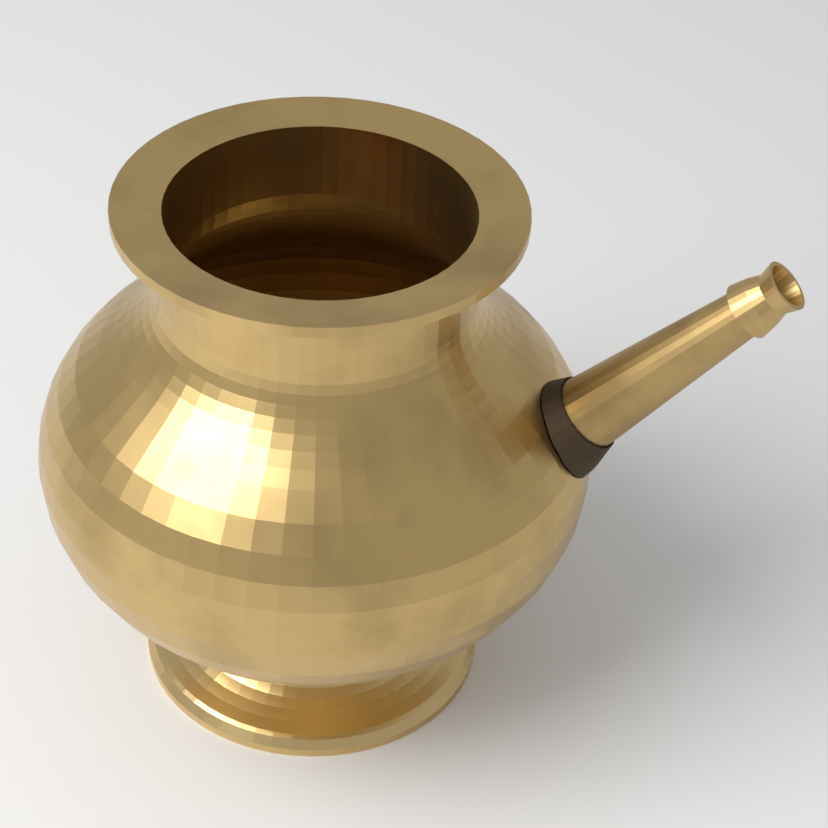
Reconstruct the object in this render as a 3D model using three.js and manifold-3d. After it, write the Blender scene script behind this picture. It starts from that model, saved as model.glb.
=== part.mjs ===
import * as THREE from "three";
import { mergeVertices } from "three/addons/utils/BufferGeometryUtils.js";
import Module from "manifold-3d";

const wasm = await Module();
wasm.setup();

// Driving dimensions in millimetres, with z = 0 under the foot and +X along the spout
const height = 130;
const clearance = 0.3;
const shellWall = 1.6;

const bellyRadius = 64.8;
const bellyHeight = 62.7;
const bellyRise = 43.9;
const bellyDrop = 47;
const shoulderRadius = 49.9;
const seamHeight = 40;

const mouthRadius = 34.5;
const neckStraight = 17;
const neckSweep = 12;
const rimRadius = 45.8;
const rimThickness = 2.6;
const rimDish = 1.3;

const footRadius = 41.4;
const footStepRadius = 38.9;
const footFlangeHeight = 4.1;
const footNeckRadius = 23.5;
const footWall = 2.2;
const footFlare = 9;

const spoutHeight = 16.4;
const spoutTilt = THREE.MathUtils.degToRad(47.5);
const spoutRootDistance = 86;
const spoutTubeLength = 56;
const spoutRootRadius = 9.2;
const spoutEndRadius = 5.1;
const spoutWall = 1.2;
const ferruleOverlap = 3;
const ferruleLength = 11;
const ferruleWall = 1;
const ferruleWaistRadius = 4.9;
const ferruleTipRadius = 5.9;
const solderWidth = 2.4;
const solderLength = 7;

const turnSteps = 56;
const tubeSteps = 28;
const arcSteps = 8;

const brass = (color, roughness) =>
  new THREE.MeshStandardMaterial({ color, roughness, metalness: 1 });

const point = (r, z) => new THREE.Vector2(r, z);

// Solids from turned profiles
function turned(profile, steps) {
  const geometry = new THREE.LatheGeometry([...profile, profile[0]], steps);
  geometry.rotateX(Math.PI / 2);
  return geometry;
}

function solidOf(geometry) {
  const bare = geometry.clone();
  bare.deleteAttribute("normal");
  bare.deleteAttribute("uv");
  const merged = mergeVertices(bare, 1e-4);
  const triangles = [];
  const index = merged.index.array;
  for (let i = 0; i < index.length; i += 3) {
    const [a, b, c] = [index[i], index[i + 1], index[i + 2]];
    if (a !== b && b !== c && c !== a) triangles.push(a, b, c);
  }
  const solid = new wasm.Manifold(
    new wasm.Mesh({
      numProp: 3,
      vertProperties: merged.attributes.position.array,
      triVerts: new Uint32Array(triangles),
    }),
  );
  return solid;
}

function geometryOf(solid) {
  const mesh = solid.getMesh();
  const geometry = new THREE.BufferGeometry();
  geometry.setAttribute("position", new THREE.BufferAttribute(mesh.vertProperties, 3));
  geometry.setIndex(new THREE.BufferAttribute(mesh.triVerts, 1));
  geometry.computeVertexNormals();
  return geometry;
}

// Pot outline, from the bottom of the belly to the top of the neck
const seamAngle = Math.asin((seamHeight - bellyHeight) / bellyDrop);
const shoulderAngle = Math.acos(shoulderRadius / bellyRadius);

function bellyPoint(angle, grow = 0) {
  const half = angle < 0 ? bellyDrop : bellyRise;
  const r = (bellyRadius + grow) * Math.cos(angle);
  return point(Math.max(r, 0), bellyHeight + (half + grow) * Math.sin(angle));
}

function bellyArc(from, to, grow, steps) {
  const at = (i) => bellyPoint(from + ((to - from) * i) / steps, grow);
  return Array.from({ length: steps + 1 }, (_, i) => at(i));
}

function bellyBottomAt(radius, grow = 0) {
  return bellyPoint(-Math.acos(radius / (bellyRadius + grow)), grow).y;
}

function neckCurve(grow) {
  const start = bellyPoint(shoulderAngle, grow);
  const before = bellyPoint(shoulderAngle - 0.01, grow);
  const slope = start.clone().sub(before).normalize();
  const neck = mouthRadius + shellWall + grow;
  const top = height - rimThickness - neckStraight;
  const curve = new THREE.CubicBezierCurve(
    start,
    start.clone().addScaledVector(slope, neckSweep),
    point(neck, top - neckSweep / 2),
    point(neck, top),
  );
  return curve.getPoints(arcSteps).slice(1);
}

const gapAngle = clearance / bellyRadius;

function upperShell() {
  const from = seamAngle + gapAngle;
  const outer = [...bellyArc(from, 0, 0, 3), ...bellyArc(0, shoulderAngle, 0, 5).slice(1), ...neckCurve(0)];
  const inner = [
    ...bellyArc(from, 0, -shellWall, 3),
    ...bellyArc(0, shoulderAngle, -shellWall, 5).slice(1),
    ...neckCurve(-shellWall),
  ];
  const underRim = height - rimThickness;
  const rim = [
    point(mouthRadius + shellWall, underRim),
    point(rimRadius, underRim),
    point(rimRadius, height),
    point(mouthRadius, height - rimDish),
  ];
  return solidOf(turned([...outer, ...rim, ...inner.reverse()], turnSteps));
}

function lowerShell() {
  const bottom = -Math.PI / 2;
  const outer = bellyArc(bottom, seamAngle, 0, arcSteps);
  const inner = bellyArc(bottom, seamAngle, -shellWall, arcSteps).reverse();
  return solidOf(turned([...outer, ...inner], turnSteps));
}

function foot() {
  const neckTop = (r) => bellyBottomAt(r) - clearance;
  const innerNeck = footNeckRadius - footWall;
  const start = point(footNeckRadius, neckTop(footNeckRadius));
  const cone = new THREE.QuadraticBezierCurve(
    point(footStepRadius, footFlangeHeight + 0.6),
    point(footNeckRadius + 3, footFlare),
    start,
  ).getPoints(arcSteps);
  const inside = cone
    .map((p) => point(p.x - footWall, p.y - footWall * 0.6))
    .reverse()
    .slice(1);
  return solidOf(
    turned(
      [
        point(footStepRadius - footWall, 0),
        point(footRadius, 0),
        point(footRadius, footFlangeHeight / 2),
        point(footStepRadius + 1, footFlangeHeight),
        ...cone,
        point(innerNeck, neckTop(innerNeck)),
        ...inside,
      ],
      turnSteps,
    ),
  );
}

// Spout pieces are turned about their own axis, then tilted and set on the pot
function placed(solid) {
  const matrix = new THREE.Matrix4()
    .makeTranslation(0, 0, spoutHeight)
    .multiply(new THREE.Matrix4().makeRotationY(Math.PI / 2 - spoutTilt));
  return solid.transform(matrix.elements);
}

const tubeEnd = spoutRootDistance + spoutTubeLength;
const tubeStart = spoutRootDistance - 20;

function tubeRadius(s) {
  const t = (s - spoutRootDistance) / spoutTubeLength;
  return THREE.MathUtils.lerp(spoutRootRadius, spoutEndRadius, Math.min(Math.max(t, 0), 1));
}

function tubeSolid(grow, inner) {
  const at = (s, off) => point(tubeRadius(s) + off, s);
  const stations = [tubeStart, spoutRootDistance, tubeEnd];
  const outer = stations.map((s) => at(s, grow));
  const hollow = stations.map((s) => at(s, inner)).reverse();
  return placed(solidOf(turned([...outer, ...hollow], tubeSteps)));
}

function rodSolid(grow) {
  const profile = [
    point(0, tubeStart),
    point(tubeRadius(tubeStart) + grow, tubeStart),
    point(tubeRadius(spoutRootDistance) + grow, spoutRootDistance),
    point(tubeRadius(tubeEnd) + grow, tubeEnd),
    point(0, tubeEnd),
  ];
  return placed(solidOf(turned(profile, tubeSteps)));
}

function bodyBlock(grow) {
  const profile = [
    ...bellyArc(-Math.PI / 2, 0, grow, 2 * arcSteps),
    ...bellyArc(0, shoulderAngle, grow, 5).slice(1),
    ...neckCurve(grow),
  ];
  profile.push(point(0, profile[profile.length - 1].y));
  return solidOf(turned(profile, turnSteps));
}

function spoutFerrule() {
  const base = tubeEnd - ferruleOverlap;
  const bore = spoutEndRadius + clearance;
  const tip = base + ferruleLength;
  const throat = ferruleWaistRadius - ferruleWall;
  const shoulder = tubeEnd + clearance;
  const socket = tubeRadius(base) + clearance;
  return placed(
    solidOf(
      turned(
        [
          point(socket, base),
          point(socket + ferruleWall, base),
          point(ferruleWaistRadius + ferruleWall, shoulder + 1),
          point(ferruleWaistRadius, shoulder + 4),
          point(ferruleTipRadius, tip),
          point(ferruleTipRadius - ferruleWall, tip),
          point(throat, shoulder + 4),
          point(throat, shoulder),
          point(bore, shoulder),
        ],
        tubeSteps,
      ),
    ),
  );
}

function spoutSolder() {
  const top = spoutRootDistance + solderLength;
  const low = tubeStart;
  const at = (s, off) => point(tubeRadius(s) + off, s);
  const ring = turned(
    [at(low, -spoutWall), at(low, 2 * solderWidth), at(spoutRootDistance, solderWidth), at(top, 2 * clearance), at(top, -spoutWall)],
    tubeSteps,
  );
  return placed(solidOf(ring)).subtract(body).subtract(rodSolid(clearance));
}

const body = bodyBlock(clearance);
const pot = new THREE.Group();

function add(name, solid, color, roughness) {
  const mesh = new THREE.Mesh(geometryOf(solid), brass(color, roughness));
  mesh.name = name;
  pot.add(mesh);
}

add("upper_shell", upperShell().subtract(rodSolid(-spoutWall)), 0xb08a45, 0.3);
add("lower_shell", lowerShell(), 0xb48f4a, 0.35);
add("foot", foot(), 0xbb9650, 0.25);
add("spout_tube", tubeSolid(0, -spoutWall).subtract(body), 0x9c7a3e, 0.4);
add("spout_solder", spoutSolder(), 0x4a3f30, 0.7);
add("spout_ferrule", spoutFerrule(), 0xa88446, 0.35);

// The origin sits under the middle of the whole object, spout included
const reach = new THREE.Box3().setFromObject(pot);
pot.position.x = -(reach.min.x + reach.max.x) / 2;

export default pot;
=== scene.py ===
from math import radians

import bpy
from mathutils import Matrix, Vector


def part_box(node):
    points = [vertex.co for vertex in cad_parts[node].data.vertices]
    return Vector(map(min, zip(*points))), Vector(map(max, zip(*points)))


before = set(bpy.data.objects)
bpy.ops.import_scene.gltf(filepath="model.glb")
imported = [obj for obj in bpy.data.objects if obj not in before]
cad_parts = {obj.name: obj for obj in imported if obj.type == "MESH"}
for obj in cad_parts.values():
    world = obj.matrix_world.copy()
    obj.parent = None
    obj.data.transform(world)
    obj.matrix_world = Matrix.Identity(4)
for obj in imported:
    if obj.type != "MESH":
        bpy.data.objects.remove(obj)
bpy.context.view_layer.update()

# Colour, roughness and tarnish of each piece
FINISHES = {
    "upper_shell": ((0.62, 0.44, 0.19, 1), 0.28, 0.35),
    "lower_shell": ((0.66, 0.48, 0.22, 1), 0.38, 0.25),
    "foot": ((0.70, 0.52, 0.25, 1), 0.22, 0.15),
    "spout_tube": ((0.50, 0.35, 0.15, 1), 0.42, 0.6),
    "spout_solder": ((0.12, 0.09, 0.06, 1), 0.7, 0.8),
    "spout_ferrule": ((0.58, 0.41, 0.18, 1), 0.36, 0.4),
}
TARNISH = (0.10, 0.065, 0.03, 1)


def brass(name, color, roughness, tarnish):
    material = bpy.data.materials.new(name)
    material.use_nodes = True
    nodes, links = material.node_tree.nodes, material.node_tree.links
    shader = nodes["Principled BSDF"]
    shader.inputs["Metallic"].default_value = 1
    place = nodes.new("ShaderNodeTexCoord")
    noise = nodes.new("ShaderNodeTexNoise")
    noise.inputs["Scale"].default_value = 45
    noise.inputs["Detail"].default_value = 6
    links.new(place.outputs["Object"], noise.inputs["Vector"])
    blend = nodes.new("ShaderNodeMix")
    blend.data_type = "RGBA"
    blend.inputs["A"].default_value = color
    blend.inputs["B"].default_value = TARNISH
    amount = nodes.new("ShaderNodeMapRange")
    amount.inputs["From Min"].default_value = 0.45
    amount.inputs["From Max"].default_value = 0.75
    amount.inputs["To Max"].default_value = tarnish
    links.new(noise.outputs["Fac"], amount.inputs["Value"])
    links.new(amount.outputs["Result"], blend.inputs["Factor"])
    links.new(blend.outputs["Result"], shader.inputs["Base Color"])
    shine = nodes.new("ShaderNodeMapRange")
    shine.inputs["To Min"].default_value = roughness - 0.08
    shine.inputs["To Max"].default_value = roughness + 0.15
    links.new(noise.outputs["Fac"], shine.inputs["Value"])
    links.new(shine.outputs["Result"], shader.inputs["Roughness"])
    return material


for node, finish in FINISHES.items():
    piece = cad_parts[node]
    material = brass(node + "_finish", *finish)
    for slot in piece.material_slots:
        slot.material = material

bpy.ops.mesh.primitive_plane_add(size=6)
floor = bpy.context.object
floor.name = "floor"
paint = bpy.data.materials.new("floor_paint")
paint.use_nodes = True
paint.node_tree.nodes["Principled BSDF"].inputs["Base Color"].default_value = (0.8, 0.8, 0.8, 1)
floor.data.materials.append(paint)

world = bpy.data.worlds.new("studio")
world.use_nodes = True
world.node_tree.nodes["Background"].inputs["Color"].default_value = (1, 1, 1, 1)
world.node_tree.nodes["Background"].inputs["Strength"].default_value = 0.5
bpy.context.scene.world = world

softbox = bpy.data.lights.new("softbox", "AREA")
softbox.energy = 12
softbox.size = 0.8
lamp = bpy.data.objects.new("softbox", softbox)
lamp.location = Vector((-0.6, -0.5, 0.9))
lamp.rotation_euler = (-lamp.location).to_track_quat("-Z", "Y").to_euler()
bpy.context.collection.objects.link(lamp)

# The camera stands where the photo's was, about the pot's own axis
low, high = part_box("lower_shell")
axis = Vector(((low[0] + high[0]) / 2, 0, 0))
TURN, PITCH, YAW, ROLL = radians(13), radians(38.3), radians(3.3), radians(3.2)
CAMERA_BACK, CAMERA_HEIGHT, LENS = 0.394, 0.384, 93.5
camera = bpy.data.objects.new("camera", bpy.data.cameras.new("camera"))
camera.data.lens = LENS
turn = Matrix.Rotation(TURN, 4, "Z")
stand = axis + turn @ Vector((0, -CAMERA_BACK, CAMERA_HEIGHT))
aim = Matrix.Rotation(TURN - YAW, 4, "Z") @ Matrix.Rotation(radians(90) - PITCH, 4, "X")
camera.matrix_world = Matrix.Translation(stand) @ aim @ Matrix.Rotation(ROLL, 4, "Z")
bpy.context.collection.objects.link(camera)
bpy.context.scene.camera = camera
bpy.context.scene.view_settings.view_transform = "Standard"
